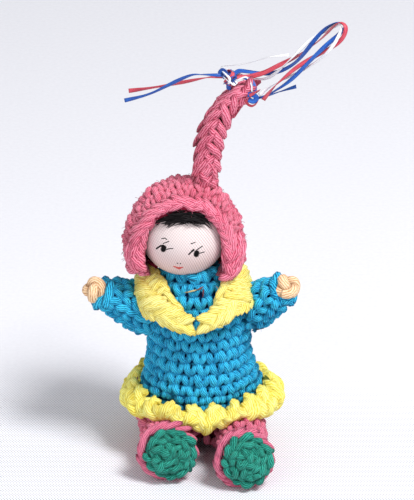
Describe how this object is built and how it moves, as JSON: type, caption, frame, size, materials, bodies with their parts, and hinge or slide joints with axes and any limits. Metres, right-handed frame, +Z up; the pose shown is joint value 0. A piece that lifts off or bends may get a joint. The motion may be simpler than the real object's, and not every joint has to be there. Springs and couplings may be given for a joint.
{
  "type": "crochet doll",
  "caption": "Small seated crochet doll in a blue tunic with a yellow collar and hem, a pointed pink hood on a covered ball head, and a ribbon hanging loop.",
  "frame": {"origin": "middle of the flat underside of the trousers' seat, on the surface that the doll sits on", "axes": "+Z up towards the tip of the hood, -Y the way the doll faces, +X towards the right of someone who looks at its face"},
  "size_m": [0.0683, 0.047, 0.1166],
  "materials": {
    "pink_yarn": "matt cotton crochet",
    "rose_yarn": "matt fuzzy cotton crochet",
    "green_yarn": "matt cotton crochet",
    "blue_yarn": "matt cotton crochet",
    "yellow_yarn": "matt cotton crochet",
    "peach_yarn": "soft stranded cotton",
    "stocking": "fine knitted nylon over a ball, with a painted face",
    "hair_fibre": "matt black fibre",
    "blue_ribbon": "glossy synthetic ribbon",
    "red_ribbon": "glossy synthetic ribbon",
    "white_ribbon": "glossy synthetic ribbon"
  },
  "bodies": {
    "root": {"trousers": "pink_yarn", "sole_left": "green_yarn", "sole_right": "green_yarn", "tunic": "blue_yarn", "sleeve_left": "blue_yarn", "sleeve_right": "blue_yarn", "hand_left": "peach_yarn", "hand_right": "peach_yarn", "hem_trim": "yellow_yarn", "collar": "yellow_yarn", "head": "stocking", "hair": "hair_fibre", "hood": "rose_yarn", "ribbon_blue": "blue_ribbon", "ribbon_red": "red_ribbon", "ribbon_white": "white_ribbon"}
  },
  "joints": []
}
